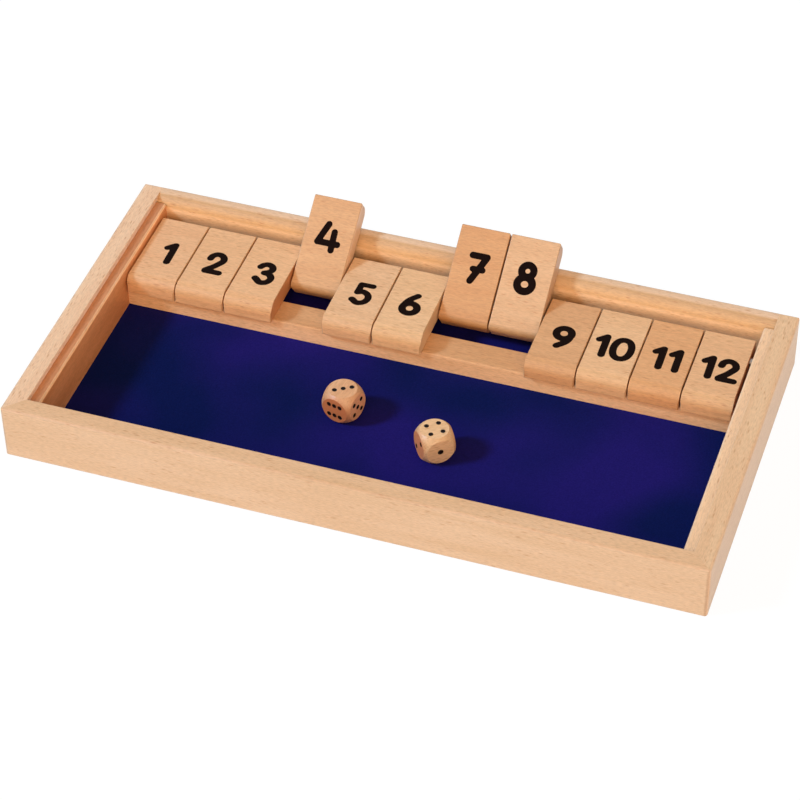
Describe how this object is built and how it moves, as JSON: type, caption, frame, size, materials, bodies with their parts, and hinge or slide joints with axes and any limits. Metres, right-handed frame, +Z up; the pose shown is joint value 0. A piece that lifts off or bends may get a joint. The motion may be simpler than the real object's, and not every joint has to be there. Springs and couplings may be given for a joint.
{
  "type": "shut the box game",
  "caption": "Open beech tray with a felt floor and a row of hinged numbered tiles on a steel rod behind a rest bar, for play with dice.",
  "frame": {"origin": "middle of the tray's underside, on the surface that it rests on", "axes": "+X to the right along the front rail, +Y from the front rail to the tiles and the back rail, +Z up"},
  "size_m": [0.34, 0.1807, 0.0446],
  "materials": {
    "beech": "satin",
    "beech_light": "satin",
    "beech_warm": "satin",
    "beech_tan": "satin",
    "die_beech": "satin",
    "felt": "matt",
    "steel": "satin"
  },
  "bodies": {
    "tray": {"front_rail": "beech", "back_rail": "beech", "left_rail": "beech_light", "right_rail": "beech", "left_strip": "beech", "right_strip": "beech", "rest_bar": "beech_light", "base_board": "beech_tan", "felt": "felt", "rod": "steel"},
    "tile_1": {"tile_1": "beech"},
    "tile_2": {"tile_2": "beech"},
    "tile_3": {"tile_3": "beech"},
    "tile_4": {"tile_4": "beech_light"},
    "tile_5": {"tile_5": "beech_light"},
    "tile_6": {"tile_6": "beech_light"},
    "tile_7": {"tile_7": "beech_warm"},
    "tile_8": {"tile_8": "beech_light"},
    "tile_9": {"tile_9": "beech_tan"},
    "tile_10": {"tile_10": "beech"},
    "tile_11": {"tile_11": "beech_warm"},
    "tile_12": {"tile_12": "beech"},
    "die_a": {"die_a": "die_beech"},
    "die_b": {"die_b": "die_beech"}
  },
  "joints": [
    {"name": "tile_1_hinge", "type": "hinge", "parent": "tray", "child": "tile_1", "pos_m": [-0.14135, 0.0612, 0.0185], "axis": [-1, 0, 0], "range_deg": [0, 144.5]},
    {"name": "tile_2_hinge", "type": "hinge", "parent": "tray", "child": "tile_2", "pos_m": [-0.11575, 0.0612, 0.0185], "axis": [-1, 0, 0], "range_deg": [0, 144.5]},
    {"name": "tile_3_hinge", "type": "hinge", "parent": "tray", "child": "tile_3", "pos_m": [-0.09015, 0.0612, 0.0185], "axis": [-1, 0, 0], "range_deg": [0, 144.5]},
    {"name": "tile_4_hinge", "type": "hinge", "parent": "tray", "child": "tile_4", "pos_m": [-0.06455, 0.0612, 0.0185], "axis": [-1, 0, 0], "range_deg": [-144.5, 0]},
    {"name": "tile_5_hinge", "type": "hinge", "parent": "tray", "child": "tile_5", "pos_m": [-0.03895, 0.0612, 0.0185], "axis": [-1, 0, 0], "range_deg": [0, 144.5]},
    {"name": "tile_6_hinge", "type": "hinge", "parent": "tray", "child": "tile_6", "pos_m": [-0.01335, 0.0612, 0.0185], "axis": [-1, 0, 0], "range_deg": [0, 144.5]},
    {"name": "tile_7_hinge", "type": "hinge", "parent": "tray", "child": "tile_7", "pos_m": [0.01225, 0.0612, 0.0185], "axis": [-1, 0, 0], "range_deg": [-144.5, 0]},
    {"name": "tile_8_hinge", "type": "hinge", "parent": "tray", "child": "tile_8", "pos_m": [0.03785, 0.0612, 0.0185], "axis": [-1, 0, 0], "range_deg": [-144.5, 0]},
    {"name": "tile_9_hinge", "type": "hinge", "parent": "tray", "child": "tile_9", "pos_m": [0.06345, 0.0612, 0.0185], "axis": [-1, 0, 0], "range_deg": [0, 144.5]},
    {"name": "tile_10_hinge", "type": "hinge", "parent": "tray", "child": "tile_10", "pos_m": [0.08905, 0.0612, 0.0185], "axis": [-1, 0, 0], "range_deg": [0, 144.5]},
    {"name": "tile_11_hinge", "type": "hinge", "parent": "tray", "child": "tile_11", "pos_m": [0.11465, 0.0612, 0.0185], "axis": [-1, 0, 0], "range_deg": [0, 144.5]},
    {"name": "tile_12_hinge", "type": "hinge", "parent": "tray", "child": "tile_12", "pos_m": [0.14025, 0.0612, 0.0185], "axis": [-1, 0, 0], "range_deg": [0, 144.5]},
    {"name": "die_a_lift", "type": "slide", "parent": "tray", "child": "die_a", "axis": [0, 0, 1], "range_m": [0, 0.05]},
    {"name": "die_b_lift", "type": "slide", "parent": "tray", "child": "die_b", "axis": [0, 0, 1], "range_m": [0, 0.05]}
  ]
}
